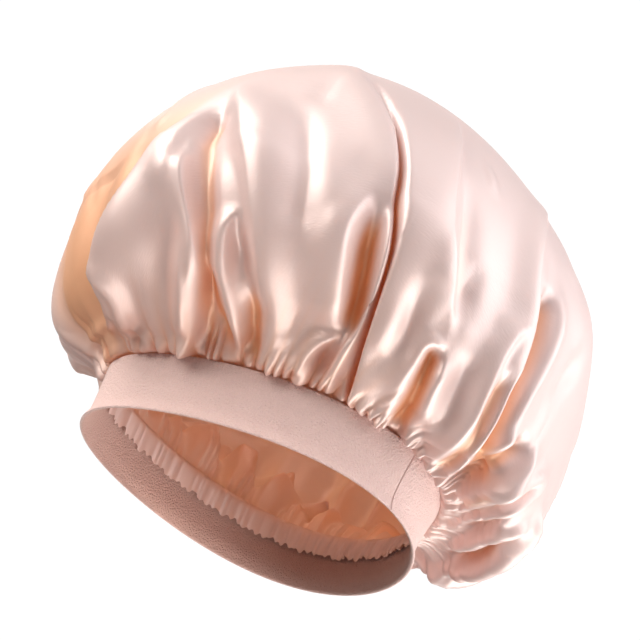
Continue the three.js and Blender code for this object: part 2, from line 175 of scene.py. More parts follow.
# Main folds on the side that the photograph shows. height is in millimetres, below 0 for a valley. left
# and right are its flanks' widths and lean is how far its crest hangs over to the right, in millimetres
# too. fade is the share of its length over which its tip runs out, and line holds its places as turns
# in degrees and rises, from the tip down.
FOLD_COLUMNS = ("height", "left", "right", "lean", "fade", "line")
FOLDS = (
    (3.5, 8, 14, 0, 0.5, ((350, 0.4), (348, 0.2), (345, 0.0))),
    (-3, 6, 8, 0, 0.5, ((358, 0.3), (357, 0.15), (356, 0.0))),
    (9, 3, 16, -2, 0.25, (
        (39, 0.44), (38.5, 0.36), (36.5, 0.3), (32.5, 0.245), (30, 0.2), (28, 0.15), (24, 0.09),
        (18, 0.05), (10, 0.02),
    )),
    (4, 3, 3, 0, 0.3, (
        (26, 0.205), (29.5, 0.175), (32.5, 0.14), (33, 0.11), (31.5, 0.075), (29, 0.04),
    )),
    (-4, 4, 3, 0, 0.4, ((26.5, 0.16), (25.5, 0.12), (24, 0.08), (21, 0.04))),
    (4, 3, 2, 0, 0.3, ((34, 0.06), (35.8, 0.035), (34.5, 0.0))),
    (3, 6, 6, 0, 0.5, ((40, 0.18), (39, 0.1), (40, 0.03))),
    (4.5, 6, 2, 0, 0.4, ((47, 0.22), (49.3, 0.15), (50, 0.1), (49.5, 0.05))),
    (3, 6, 1.8, 0, 0.15, ((44.8, 0.44), (42.3, 0.41), (41.8, 0.37), (42, 0.32), (42.7, 0.26))),
    (8, 9, 2, 2, 0.12, (
        (44, 0.345), (44.8, 0.31), (46.5, 0.27), (49.5, 0.225), (51.8, 0.19), (52.8, 0.15),
        (52.7, 0.1), (51.5, 0.06), (49.8, 0.03), (47.5, 0.0),
    )),
    (-6.5, 2.5, 4.5, 0, 0.08, (
        (45.8, 0.435), (46, 0.37), (47.5, 0.33), (50, 0.28), (52.5, 0.23), (54, 0.18), (54.5, 0.12),
        (55.5, 0.06), (57, 0.0),
    )),
    (7, 5, 12, 0, 0.25, (
        (44, 0.53), (47, 0.47), (50.5, 0.43), (54.5, 0.375), (58.5, 0.32), (61.5, 0.275),
        (64.5, 0.23), (67, 0.185), (69, 0.14), (71, 0.09), (73, 0.03), (73.5, 0.0),
    )),
    (5, 4, 2, 0, 0.15, (
        (58.3, 0.265), (57.3, 0.235), (58, 0.19), (59.5, 0.15), (61.5, 0.12), (63.5, 0.085),
        (65, 0.05), (65, 0.01),
    )),
    (3, 2.5, 2.5, 0, 0.3, ((54, 0.26), (54.8, 0.2), (56.5, 0.14), (58, 0.09), (59.5, 0.05))),
    (-8, 4, 4, 0, 0.3, ((54.5, 0.18), (56, 0.13), (58.5, 0.08), (61, 0.05), (62, 0.01))),
    (-8, 3.5, 4, 0, 0.5, ((65, 0.18), (67, 0.12), (69, 0.06), (70.5, 0.0))),
    (-3, 7, 5, 0, 0.4, ((60, 0.48), (66, 0.38), (69, 0.3), (71, 0.22))),
    (6, 14, 5, 0, 0.6, (
        (80, 0.41), (78.6, 0.34), (78, 0.3), (78.4, 0.26), (80, 0.22), (82.3, 0.175), (84.7, 0.14),
        (87.2, 0.115), (88.8, 0.09),
    )),
    (-11, 5, 2.2, 0, 0.45, (
        (82.6, 0.37), (83.8, 0.3), (85, 0.25), (86.8, 0.2), (88.4, 0.16), (89.5, 0.12), (90.3, 0.09),
    )),
    (6, 2.2, 2, -0.5, 0.3, (
        (81.5, 0.37), (84.8, 0.33), (87, 0.28), (88.8, 0.22), (89.9, 0.17), (90.9, 0.12),
        (91.5, 0.07), (91.9, 0.0),
    )),
    (4.5, 3, 2, 0, 0.15, ((87, 0.108), (85, 0.092), (83, 0.06), (82.5, 0.02))),
    (-8, 1.8, 1.8, 0, 0.5, (
        (66, 0.63), (72, 0.565), (76, 0.525), (79.5, 0.49), (82, 0.45), (84.5, 0.4), (86.5, 0.35),
        (88, 0.3), (89.7, 0.25), (91.5, 0.19), (93.5, 0.13), (96.5, 0.075), (100, 0.02), (101.5, 0.0),
    )),
    (5, 16, 5, 0, 0.5, (
        (56, 0.74), (62, 0.63), (67, 0.565), (71, 0.53), (75.5, 0.49), (79, 0.45), (82.5, 0.4),
        (85.3, 0.34),
    )),
    (6, 3, 18, -5.5, 0.4, (
        (65, 0.66), (74.3, 0.57), (78.6, 0.52), (83.3, 0.46), (86.2, 0.41), (88.4, 0.35), (90.2, 0.3),
        (92, 0.24), (94.5, 0.17), (98, 0.1), (102.5, 0.03), (104, 0.0),
    )),
    (5, 14, 3, 1, 0.35, (
        (90, 0.66), (91, 0.54), (92.5, 0.46), (94.5, 0.39), (97.5, 0.33), (101, 0.28), (104.5, 0.235),
        (106, 0.2),
    )),
    (-4, 3, 9, 0, 0.4, ((96, 0.5), (100, 0.38), (103, 0.31), (105.5, 0.25))),
    (4.5, 4, 2, 0, 0.12, (
        (106, 0.225), (104.8, 0.2), (105.3, 0.165), (107, 0.12), (109.5, 0.08), (112, 0.04),
        (113.5, 0.0),
    )),
    (-9, 3, 3, 0, 0.15, (
        (106, 0.21), (106.7, 0.18), (108, 0.15), (110.3, 0.11), (113, 0.07), (116, 0.03),
        (117.5, 0.0),
    )),
    (4.5, 2, 6, 0, 0.2, (
        (107, 0.21), (109.8, 0.15), (112.5, 0.11), (115.8, 0.07), (120, 0.03), (123, 0.0),
    )),
    (-3, 3, 3, 0, 0.5, ((113, 0.11), (119, 0.06), (126, 0.02))),
    (4.5, 5, 2, 0, 0.12, (
        (118.5, 0.345), (116.2, 0.315), (115.8, 0.28), (117, 0.235), (119.3, 0.19), (123, 0.145),
        (126, 0.1), (129.5, 0.06), (134, 0.0),
    )),
    (-7, 2.5, 3, 0, 0.15, (
        (119.8, 0.28), (120.5, 0.24), (122, 0.2), (124, 0.155), (127, 0.11), (131, 0.065),
        (136, 0.01),
    )),
    (7.5, 10, 2.6, 1, 0.35, (
        (134, 0.69), (125, 0.62), (120, 0.57), (117, 0.52), (116, 0.47), (116.5, 0.42), (118, 0.37),
        (119.3, 0.32), (120.8, 0.27), (123, 0.215), (125.3, 0.165), (128.5, 0.12), (133, 0.075),
        (138.5, 0.035), (143, 0.0),
    )),
    (-9, 3, 5, 0, 0.08, (
        (123.5, 0.44), (124, 0.38), (124.3, 0.33), (124.3, 0.28), (125.4, 0.24), (127.2, 0.2),
        (131, 0.15), (135, 0.1), (140, 0.05), (144, 0.01),
    )),
    (5.5, 4, 6, 0, 0.3, (
        (127, 0.48), (127.5, 0.38), (127.3, 0.33), (127, 0.28), (128.3, 0.22), (131, 0.16),
    )),
    (-9, 5, 4, 0, 0.12, (
        (135, 0.255), (134, 0.2), (134.8, 0.155), (137.5, 0.11), (142, 0.06), (148, 0.015),
    )),
    (3.5, 3, 3, 0, 0.15, (
        (132.5, 0.245), (130.7, 0.2), (131.2, 0.16), (133.8, 0.12), (138, 0.075), (145, 0.03),
    )),
    (5.5, 2.5, 3, 0, 0.2, (
        (138.3, 0.27), (139, 0.2), (139.7, 0.16), (142, 0.115), (147, 0.065), (153, 0.02),
    )),
    (-6, 2.5, 2.5, 0, 0.3, ((140.8, 0.17), (142, 0.13), (145.5, 0.095), (151, 0.058), (158, 0.03))),
    (6.5, 3, 2.5, 0, 0.2, (
        (150.5, 0.28), (145, 0.245), (142, 0.2), (141.7, 0.165), (143.5, 0.125), (148, 0.085),
        (155, 0.05), (163, 0.02),
    )),
    (-5, 2, 2, 0, 0.2, (
        (148, 0.255), (144.7, 0.2), (144.5, 0.165), (146.7, 0.125), (151.5, 0.09), (158, 0.058),
        (165, 0.035),
    )),
    (5.5, 2.5, 4, 0, 0.2, (
        (152, 0.28), (147.5, 0.235), (146.3, 0.19), (147.3, 0.15), (151, 0.11), (157, 0.078),
        (165, 0.047), (172, 0.02),
    )),
    (-6, 3, 3, 0, 0.2, ((149.5, 0.175), (151, 0.14), (155, 0.11), (161, 0.08), (169, 0.05))),
    (5.5, 3, 3, 0, 0.2, (
        (158.3, 0.23), (156.3, 0.195), (157.2, 0.155), (161, 0.125), (167, 0.1), (175, 0.075),
        (184, 0.05),
    )),
    (-9, 3, 4, 0, 0.12, (
        (159.5, 0.2), (163, 0.16), (168, 0.135), (174, 0.115), (181, 0.095), (189, 0.065),
    )),
    (7.5, 4, 8, 0, 0.2, (
        (157.5, 0.26), (163, 0.215), (169, 0.18), (176, 0.15), (184, 0.125), (192, 0.09),
    )),
    (-6, 4, 4, 0, 0.3, ((172, 0.3), (178, 0.28), (184, 0.26), (191, 0.22), (197, 0.17))),
    (7, 5, 6, 0, 0.4, (
        (170, 0.42), (178, 0.33), (186, 0.29), (195, 0.22), (201, 0.15), (203, 0.05),
    )),
)

# Hollows and swellings that are no folds: turn, rise, half width and half length in millimetres, slant
# in degrees from upright, to the right for a positive one, and height in millimetres.
DENT_COLUMNS = ("turn", "rise", "across", "along", "slant", "height")
DENTS = (
    (17, 0.24, 16, 46, 5, -9),
    (10, 0.062, 26, 3, 0, 3),
    (0, 0.2, 40, 55, 0, -6),
    (330, 0.2, 50, 55, 0, -5),
    (180, 0.1, 60, 30, 0, -5),
    (228, 0.09, 42, 26, 0, -9),
    (262, 0.09, 50, 28, 0, -12),
    (300, 0.09, 50, 28, 0, -12),
    (196, 0.06, 26, 22, 0, -6),
    (208, 0.12, 24, 26, 0, -9),
    (37, 0.21, 16, 26, 0, 6),
    (44.5, 0.2, 8, 24, -8, -5),
    (49.5, 0.36, 8, 14, -20, -3),
    (38, 0.12, 12, 14, 0, -4),
    (31, 0.03, 4, 4, 0, -3.5),
    (61.7, 0.185, 5, 15, -22, -6),
    (77, 0.12, 12, 26, -15, -2),
    (70, 0.1, 7, 12, -12, -3),
    (58, 0.4, 10, 22, -30, 3),
    (87.5, 0.055, 3.5, 8, 0, -6),
    (99.3, 0.2, 5, 15, -20, -4.5),
    (115.3, 0.19, 8, 20, -25, -4.5),
    (109, 0.26, 9, 12, 0, 2),
    (138.5, 0.37, 20, 6, -70, -4),
    (145, 0.5, 26, 30, 0, 4),
    (112, 0.42, 22, 40, 0, -3),
    (176, 0.52, 12, 22, -30, -4),
)

# The sides that the photograph hides, in degrees, get folds, creases and dimples of the same kinds.
# Wrinkles are drawn all round.
HIDDEN_FROM = 214.0
HIDDEN_TO = 322.0
CREASED_TO = 300.0
DIMPLED_FROM = 224.0
HIDDEN_SEED = 7
WRINKLES = 90
CREASES = 56
DIMPLES = 44
DIMPLE_SEED = 8


def drawn_line(turn, tip, wander):
    """A hidden fold's places from its tip down, each aside from its foot by a running sum of wander."""
    asides = (wander.sum(), wander[:2].sum(), wander[0], 0.0)
    return tuple((turn + aside, tip * (1 - k / 3)) for k, aside in enumerate(asides))


def fold_rows():
    """The folds as one dictionary each: those of the table, drawn ones for the hidden sides and small
    wrinkles drawn all round."""
    rows = [dict(zip(FOLD_COLUMNS, row)) for row in FOLDS]
    random = np.random.default_rng(HIDDEN_SEED)
    turn = HIDDEN_FROM
    while turn < HIDDEN_TO:
        pitch = random.uniform(7, 13)
        wander = random.uniform(-4, 4, 3)
        tip = random.uniform(0.3, 0.65)
        rows.append(
            {
                "height": -random.uniform(8, 14),
                "left": random.uniform(4, 8),
                "right": random.uniform(4, 8),
                "lean": 0,
                "fade": random.uniform(0.5, 0.8),
                "line": drawn_line(turn, tip, wander),
            }
        )
        rows.append(
            {
                "height": random.uniform(3, 6),
                "left": random.uniform(3, 8),
                "right": random.uniform(3, 8),
                "lean": random.uniform(-1.5, 1.5),
                "fade": random.uniform(0.2, 0.5),
                "line": drawn_line(turn + pitch / 2, tip * random.uniform(0.7, 1.3), wander),
            }
        )
        turn += pitch
    for turn in random.uniform(HIDDEN_FROM, CREASED_TO, CREASES):
        low = random.uniform(0.04, 0.4)
        long = random.uniform(0.08, 0.18)
        tilt = random.uniform(-14, 14)
        rows.append(
            {
                "height": random.choice((-1.0, 1.0)) * random.uniform(2.5, 5),
                "left": random.uniform(6, 11),
                "right": random.uniform(5, 10),
                "lean": 0,
                "fade": 0.5,
                "line": ((turn, low + long), (turn - tilt * 0.4, low + long / 2), (turn - tilt, low)),
            }
        )
    for turn in random.uniform(0, 360, WRINKLES):
        low = random.uniform(0.0, 0.5)
        long = random.uniform(0.06, 0.22)
        tilt = random.uniform(-5, 2)
        rows.append(
            {
                "height": random.choice((-1.0, 1.0)) * random.uniform(0.5, 1.5),
                "left": random.uniform(2.5, 6),
                "right": random.uniform(2.5, 6),
                "lean": 0,
                "fade": 0.5,
                "line": ((turn, low + long), (turn - tilt * 0.4, low + long / 2), (turn - tilt, low)),
            }
        )
    return rows


def smooth(value, low, high):
    """0 below low, 1 above high, and a smooth step between."""
    share = np.clip((value - low) / (high - low), 0, 1)
    return share * share * (3 - 2 * share)


def between(value, start, full, ebb, end):
    """0 outside start to end, 1 from full to ebb, and smooth steps on the way."""
    return smooth(value, start, full) * (1 - smooth(value, ebb, end))


def plan_points(half_length, half_width, taper, turn, outwards):
    """An egg: x is the half width times sin turn times (1 - taper cos turn), y is minus the half length
    times cos turn, and each point is moved out square to the outline."""
    sine, cosine = np.sin(turn), np.cos(turn)
    along_x = half_width * (cosine * (1 - taper * cosine) + taper * sine * sine)
    along_y = half_length * sine
    size = np.hypot(along_x, along_y)
    x = half_width * sine * (1 - taper * cosine) + along_y / size * outwards
    y = -half_length * cosine - along_x / size * outwards
    return x, y


def rim_points(turn, outwards):
    """The band's plan, moved out."""
    return plan_points(RIM_HALF_LENGTH, RIM_HALF_WIDTH, FRONT_TAPER, turn, outwards)


def band_stand_out(sizes, height, turn):
    """The flare grows with the square of the height, and more so behind, and the roll grows with the
    square of the nearness to the rim."""
    share = np.clip(height / BAND_HEIGHT, 0, 1)
    roll = np.clip(1 - height / sizes.roll_height, 0, 1)
    flare = sizes.flare + sizes.back_flare * between(turn, *FLARE_SPAN)
    return flare * share**2 + sizes.roll * roll**2


def crown_base(sizes, band, turn, rise):
    """The satin without folds. Above the neck it is an egg-shaped plan times the cosine of a latitude,
    drawn in to the neck's plan, with its height from the latitude's sine and a sag in front and behind.
    Below the neck it runs down beside the band's inner face."""
    inset = SATIN_GAP + band.wall
    half_length, half_width = sizes.length / 2, sizes.width / 2
    neck_latitude = -math.acos(RIM_HALF_LENGTH / half_length)
    up_rise = np.clip(rise, 0, 1)
    latitude = neck_latitude + up_rise * (math.pi / 2 - neck_latitude)
    girth = np.maximum(np.cos(latitude), 0) ** GIRTH_POWER
    neck_girth = math.cos(neck_latitude) ** GIRTH_POWER
    neck_x, neck_y = rim_points(turn, band_stand_out(band, BAND_HEIGHT, turn) - inset)
    bag_x, bag_y = plan_points(half_length, half_width, CROWN_TAPER, turn, 0)
    up = np.clip((latitude - neck_latitude) / -neck_latitude, 0, 1)
    hold = (1 - up) ** 2 * (1 + 2 * up)
    level = np.sin(latitude)
    girth_z = BAND_HEIGHT + sizes.girth_height
    neck_z = BAND_HEIGHT + NECK_LIFT
    z = np.where(
        level > 0,
        girth_z + (sizes.height - sizes.girth_height) * level,
        girth_z - (girth_z - neck_z) * (level / math.sin(neck_latitude)),
    )
    facing = np.cos(turn)
    sag = np.where(facing > 0, sizes.front_sag * facing, -sizes.back_sag * facing)
    z = z - sag * np.sin(math.pi * up) ** SAG_POWER
    x = bag_x * girth + (neck_x - bag_x * neck_girth) * hold
    y = bag_y * girth + (neck_y - bag_y * neck_girth) * hold + CROWN_SHIFT * (1 - hold)
    down = np.clip(-rise, 0, 1)
    edge_z = neck_z - down * (sizes.allowance + NECK_LIFT)
    edge_x, edge_y = rim_points(turn, band_stand_out(band, edge_z, turn) - inset)
    below = rise < 0
    return np.stack(
        [np.where(below, edge_x, x), np.where(below, edge_y, y), np.where(below, edge_z, z)], -1
    )


def fold_line(places, rise):
    """A fold's turn in radians at each rise, and its change per unit of rise: cubic Hermite pieces
    between its places, with slopes from their neighbours."""
    turns, rises = np.array(places[::-1]).T
    slopes = np.gradient(turns, rises)
    held = np.clip(rise, rises[0], rises[-1])
    piece = np.clip(np.searchsorted(rises, held) - 1, 0, len(rises) - 2)
    gap = rises[piece + 1] - rises[piece]
    p = (held - rises[piece]) / gap
    a, b = turns[piece], turns[piece + 1]
    m, n = slopes[piece] * gap, slopes[piece + 1] * gap
    turn = a + m * p + (3 * (b - a) - 2 * m - n) * p**2 + (2 * (a - b) + m + n) * p**3
    change = (m + 2 * (3 * (b - a) - 2 * m - n) * p + 3 * (2 * (a - b) + m + n) * p**2) / gap
    return np.radians(turn), np.radians(change)


# A fold's crest is rounded to this radius, the power of its flanks lies between a cusp's 1 and a plain
# bell's 2, and its foot runs out over this share of its length, unless the foot's rise is below ON_NECK.
CREST = 1.9 * MM
FLANK_POWER = 1.6
FOOT_FADE = 0.2
ON_NECK = 0.005


def fold_field(turn, rise, per_turn, per_rise):
    """Lift and sideways slide of the folds, and the depth of the valleys alone. Each fold is a bell
    across its own curved line, by the distance square to it, with a flank of its own width on each side,
    and runs out at its two ends."""
    lift = np.zeros(np.broadcast_shapes(turn.shape, rise.shape))
    slide = np.zeros_like(lift)
    depth = np.zeros_like(lift)
    for row in fold_rows():
        tip, foot = row["line"][0][1], row["line"][-1][1]
        along = (rise - foot) / (tip - foot)
        ease = 1 - smooth(along, 1 - row["fade"], 1)
        if foot >= ON_NECK:
            ease = ease * smooth(along, 0, FOOT_FADE)
        line, change = fold_line(row["line"], rise)
        aside = (turn - line + math.pi) % (2 * math.pi) - math.pi
        across = aside * per_turn / np.hypot(1, per_turn * change / per_rise)
        soft = np.sqrt(across**2 + CREST**2) - CREST
        width = np.where(across < 0, row["left"], row["right"]) * MM
        bell = np.exp(-((soft / width) ** FLANK_POWER)) * ease
        lift += row["height"] * MM * bell
        slide += row["lean"] * MM * bell
        depth = np.maximum(depth, -row["height"] * MM * bell)
    return lift, slide, depth


def dent_rows():
    """The dents as one dictionary each: those of the table, and small dimples, inwards or outwards,
    drawn for the hidden sides, which crumple the cloth that shows through the opening."""
    rows = [dict(zip(DENT_COLUMNS, row)) for row in DENTS]
    random = np.random.default_rng(DIMPLE_SEED)
    for turn in random.uniform(DIMPLED_FROM, CREASED_TO, DIMPLES):
        rows.append(
            {
                "turn": turn,
                "rise": random.uniform(0.03, 0.28),
                "across": random.uniform(6, 12),
                "along": random.uniform(7, 14),
                "slant": random.uniform(-70, 70),
                "height": random.choice((-1.0, 1.0)) * random.uniform(3.5, 7),
            }
        )
    return rows


def dent_field(turn, rise, per_turn, per_rise):
    """Lift of the hollows and swellings, each a round bell stretched along its slanted length."""
    lift = np.zeros(np.broadcast_shapes(turn.shape, rise.shape))
    for row in dent_rows():
        aside = (turn - math.radians(row["turn"]) + math.pi) % (2 * math.pi) - math.pi
        x, y = aside * per_turn, (rise - row["rise"]) * per_rise
        sine, cosine = math.sin(math.radians(row["slant"])), math.cos(math.radians(row["slant"]))
        across = (x * cosine - y * sine) / (row["across"] * MM)
        along = (x * sine + y * cosine) / (row["along"] * MM)
        lift += row["height"] * MM * np.exp(-(across**2) - along**2)
    return lift


# The gathers stand closer by this share at this turn, and wander off an even pitch with this strength.
CLOSER = 0.5
CLOSEST = 3.1
WANDER = 1.9

# The three sizes of gathers: share of the fine ones' count, height in millimetres, the rise that they
# reach and the seed of their draws. Over the front all three are shorter and lower by these shares.
GATHER_LEVELS = (
    {"share": 1.0, "height": 2.6, "reach": 0.09, "seed": 11},
    {"share": 0.5, "height": 3.4, "reach": 0.17, "seed": 12},
    {"share": 0.25, "height": 3.6, "reach": 0.3, "seed": 13},
)
FRONT_SHORTER = 0.6
FRONT_LOWER = 0.4
# Behind, the gathers sweep sideways: their phase shifts by this many radians at their ends.
SWEEP = 0.9
# The share of a gather's height that lies below the satin's own level, in its valley.
VALLEY_SHARE = 0.35
# How deep the gathers inside the band are tucked, as a share of their height.
TUCK = 0.55


def wandering(turn, count, strength, seed):
    """A turn warped by a few sines, so that what repeats count times doesn't repeat evenly, and comes
    closer together behind than in front."""
    random = np.random.default_rng(seed)
    warped = (turn + CLOSER * np.sin(turn - CLOSEST)) * count
    for harmonic in (3, 5, 8, 13, 21, 34):
        size = strength * count / 60 * random.uniform(0.5, 1.0) * (8 / harmonic) ** 0.5
        warped = warped + size * np.sin(harmonic * turn + random.uniform(0, 6.28))
    return warped


def uneven(turn, low, high, harmonics, seed):
    """A value that changes smoothly round the band between about low and high."""
    random = np.random.default_rng(seed)
    total = np.zeros_like(turn)
    for harmonic in harmonics:
        total = total + random.uniform(0.5, 1) * np.sin(harmonic * turn + random.uniform(0, 6.28))
    total = total / math.sqrt(len(harmonics))
    return low + (high - low) * (0.5 + 0.5 * np.tanh(1.3 * total))


def gather_ridge(count, seed, turn, drift):
    """Rounded ridges of height 1 with narrow valleys between, at an uneven pitch."""
    return np.abs(np.cos((wandering(turn, count, WANDER, seed) + drift) / 2)) ** 0.8


def gather_field(sizes, turn, rise):
    """Lift of the small gathers in three sizes. Each starts at the neck and fades at its own rise, so
    that the fine ones run into the coarse. Inside the band the valleys stand inwards."""
    up = np.clip(rise, 0, 1)
    down = np.clip(-rise, 0, 1)
    front = between(turn, *FRONT_SPAN)
    behind = between(turn, *DRIFT_SPAN)
    tucked = smooth(down, 0.0, 0.25)
    lift = np.zeros(np.broadcast_shapes(turn.shape, rise.shape))
    for level in GATHER_LEVELS:
        count = round(sizes.gathers * level["share"])
        ridge = gather_ridge(count, level["seed"], turn, -SWEEP * behind * up / level["reach"])
        reach = level["reach"] * uneven(turn, 0.55, 1.35, (4, 7, 11, 17, 29), level["seed"] + 50)
        along = np.clip(up / (reach * (1 - FRONT_SHORTER * front)), 0, 1)
        strength = uneven(turn, 0.45, 1.2, (5, 9, 14, 23, 37), level["seed"] + 90)
        height = level["height"] * MM * strength * (1 - FRONT_LOWER * front)
        swell = np.sin(math.pi * along**0.55) * (1 - 0.25 * along)
        lift += height * swell * (ridge - VALLEY_SHARE)
        if level is not GATHER_LEVELS[-1]:
            lift -= TUCK * height * tucked * (1 - ridge)
    return lift


def pinched(sizes, turn):
    """1 in the narrow valleys between the fine gathers and 0 on their ridges."""
    fine = GATHER_LEVELS[0]
    return 1 - gather_ridge(round(sizes.gathers), fine["seed"], turn, 0)


# Millimetres that the satin rolls out and drops over the band's top edge, in a gather's valley and
# further on its ridge, with the span of rises in which it does so and the seed of its uneven size.
SCALLOP_OUT = (1.2, 1.6)
SCALLOP_DROP = (1.0, 3.6)
SCALLOP_SPAN = (0, 0.012, 0.014, 0.06)
SCALLOP_SEED = 21


def scallop_field(sizes, turn, rise):
    """How far the satin rolls out and down over the band's top edge just above the neck: each gather
    makes a small round scallop there, and the valleys between stay pinched up."""
    ridge = 1 - pinched(sizes, turn)
    size = MM * uneven(turn, 0.45, 1.2, (6, 10, 15, 26, 41), SCALLOP_SEED)
    size = size * between(rise, *SCALLOP_SPAN)
    out = SCALLOP_OUT[0] + SCALLOP_OUT[1] * ridge
    drop = SCALLOP_DROP[0] + SCALLOP_DROP[1] * ridge
    return out * size, -drop * size


# The single flat layer on the left, painted with a glow that stands in for light coming through it: how
# strong that painted glow is, the rise of its middle, half its height, and the slanted edge where the
# first fold covers it, as a turn at a rise and its lean.
THIN_PAINTED_GLOW = 0.78
THIN_MIDDLE = 0.22
THIN_REACH = 0.24
THIN_EDGE_TURN = 0.37
THIN_EDGE_RISE = 0.1
THIN_EDGE_LEAN = 0.9


def thin_layer_painted_glow(turn, rise):
    """How strongly the satin is painted with a glow that stands in for light coming through it, where it
    lies in a single flat layer on the left: a flat-topped bell up the rise, between a soft left side and
    the slanted edge of the first fold."""
    aside = (turn + math.pi) % (2 * math.pi) - math.pi
    edge = THIN_EDGE_TURN + THIN_EDGE_LEAN * (rise - THIN_EDGE_RISE)
    across = between(aside, -0.25, 0.05, edge - 0.04, edge + 0.02)
    return THIN_PAINTED_GLOW * across * np.exp(-(((rise - THIN_MIDDLE) / THIN_REACH) ** 4))


# Painted glow and shade in the valleys, standing in for light that has crossed the cloth several times:
# the depths at which it starts and is full, its size in front, and what is taken off it at the lower
# right and on the hidden sides.
VALLEY_STARTS = 2.5 * MM
VALLEY_FULL = 9.5 * MM
VALLEY_PAINTED_GLOW = 0.85
LESS_RIGHT = 0.3
LESS_HIDDEN = 0.65


def painted_glow_share(sizes, turn, rise, depth):
    """How far the satin's colour is painted orange, from 0 to 1, as painted glow and shade standing in
    for light that has crossed the cloth several times. It is painted more the deeper it lies in a valley,
    the nearer it is to the pinched neck, low down and in its thin place, and less so at the lower right
    and on the hidden sides. What each of the three leaves unpainted is multiplied."""
    hidden = between(turn, *HIDDEN_SPAN)
    right = smooth(turn, 2.2, 2.6) * (1 - hidden)
    valley = VALLEY_PAINTED_GLOW - LESS_HIDDEN * hidden - LESS_RIGHT * right
    valley = valley * smooth(depth, VALLEY_STARTS, VALLEY_FULL)
    near_neck = (0.1 + 0.4 * pinched(sizes, turn)) * np.exp(-np.abs(rise) / 0.07) * (1 - 0.7 * hidden)
    low = near_neck + 0.2 * np.exp(-((rise / 0.27) ** 2))
    low = low * (1 - 0.6 * smooth(turn, 1.6, 2.2) * (1 - hidden))
    return 1 - (1 - valley) * (1 - low) * (1 - thin_layer_painted_glow(turn, rise))


# The step of the numerical slopes, the uneven raw edge's size and the seed of its draws.
SLOPE_STEP = 1e-4
RAW_EDGE = 1.6 * MM
RAW_EDGE_SEED = 3


def crown_surface(sizes, band, turn, rise):
    """The satin: its base, moved out along its own normal by the folds' and gathers' lift and sideways by
    the folds' lean, with scallops at the band's top edge and an uneven raw edge. With the points come
    their shares of painted glow and shade."""
    base = crown_base(sizes, band, turn, rise)
    step = SLOPE_STEP
    right = crown_base(sizes, band, turn + step, rise)
    left = crown_base(sizes, band, turn - step, rise)
    by_turn = (right - left) / (2 * step)
    inside = np.clip(rise, -1, 0.996)
    by_rise = crown_base(sizes, band, turn, inside + step) - crown_base(sizes, band, turn, inside - step)
    by_rise /= 2 * step
    normal = np.cross(by_turn, by_rise)
    length = np.linalg.norm(normal, axis=-1, keepdims=True)
    normal = np.where(length > 1e-12, normal / np.maximum(length, 1e-12), (0, 0, 1))
    per_turn = np.linalg.norm(by_turn, axis=-1)
    per_rise = np.linalg.norm(by_rise, axis=-1)
    sideways = by_turn / np.maximum(per_turn[..., None], 1e-9)
    folds, slide, depth = fold_field(turn, rise, per_turn, per_rise)
    above = smooth(rise, 0.0, 0.03)
    lift = (folds + dent_field(turn, rise, per_turn, per_rise)) * above + gather_field(sizes, turn, rise)
    lift *= 1 - smooth(rise, 0.97, 1.0)
    # how far each point's colour is painted orange, as painted glow and shade in the valleys, at the neck
    # and in the thin place
    painted_glow = painted_glow_share(sizes, turn, rise, depth * above)
    points = base + normal * lift[..., None] + sideways * (slide * above)[..., None]
    out, drop = scallop_field(sizes, turn, rise)
    here_x, here_y = rim_points(turn, 0)
    there_x, there_y = rim_points(turn, 1)
    points[..., 0] += out * (there_x - here_x)
    points[..., 1] += out * (there_y - here_y)
    points[..., 2] += drop
    raw = uneven(turn, -RAW_EDGE, RAW_EDGE, (19, 43, 71, 97, 131), RAW_EDGE_SEED)
    points[..., 2] += raw * np.clip(-rise, 0, 1) ** 2
    return points, painted_glow


def fill_mesh(name, points, faces, uv=None):
    """A mesh object from arrays of points and of faces with equal corners, shaded smooth."""
    mesh = bpy.data.meshes.new(name)
    corners = faces.shape[1]
    mesh.vertices.add(len(points))
    mesh.vertices.foreach_set("co", points.astype(np.float32).ravel())
    mesh.loops.add(faces.size)
    mesh.loops.foreach_set("vertex_index", faces.astype(np.int32).ravel())
    mesh.polygons.add(len(faces))
    mesh.polygons.foreach_set("loop_start", np.arange(0, faces.size, corners, dtype=np.int32))
    mesh.polygons.foreach_set("use_smooth", np.ones(len(faces), bool))
    mesh.update(calc_edges=True)
    if uv is not None:
        layer = mesh.uv_layers.new(name="cut")
        layer.data.foreach_set("uv", uv[faces.ravel()].astype(np.float32).ravel())
    mesh.validate()
    piece = bpy.data.objects.new(name, mesh)
    bpy.context.scene.collection.objects.link(piece)
    return piece


def grid_faces(columns, rows, close_rows=False):
    """Quads of a grid that wraps round its columns, and round its rows too if close_rows."""
    column = np.arange(columns)
    row = np.arange(rows if close_rows else rows - 1)
    c, r = np.meshgrid(column, row)
    c, r = c.ravel(), r.ravel()
    beside, above = (c + 1) % columns, (r + 1) % rows
    return np.stack(
        [r * columns + c, r * columns + beside, above * columns + beside, above * columns + c], -1
    )


class Paint:
    """A material's node tree, with one way to add a node."""

    def __init__(self, name):
        self.material = bpy.data.materials.new(name)
        self.material.use_nodes = True
        self.tree = self.material.node_tree
        self.tree.nodes.clear()

    def node(self, kind, settings=None, **inputs):
        """Adds a node. Settings are its own, and an input is a value or another node's output. An input
        is named, or given by its place, as on a colour mix: _0 is the share, _6 and _7 the colours."""
        node = self.tree.nodes.new(kind)
        for key, value in (settings or {}).items():
            setattr(node, key, value)
        for key, value in inputs.items():
            socket = node.inputs[int(key[1:]) if key[1:].isdigit() else key.replace("_", " ")]
            if isinstance(value, bpy.types.NodeSocket):
                self.tree.links.new(value, socket)
            else:
                socket.default_value = value
        return node

    def finish(self, shader):
        self.node("ShaderNodeOutputMaterial", Surface=shader)
        return self.material


def opaque(colour):
    """A colour property with full alpha."""
    return (*colour[:3], 1.0)


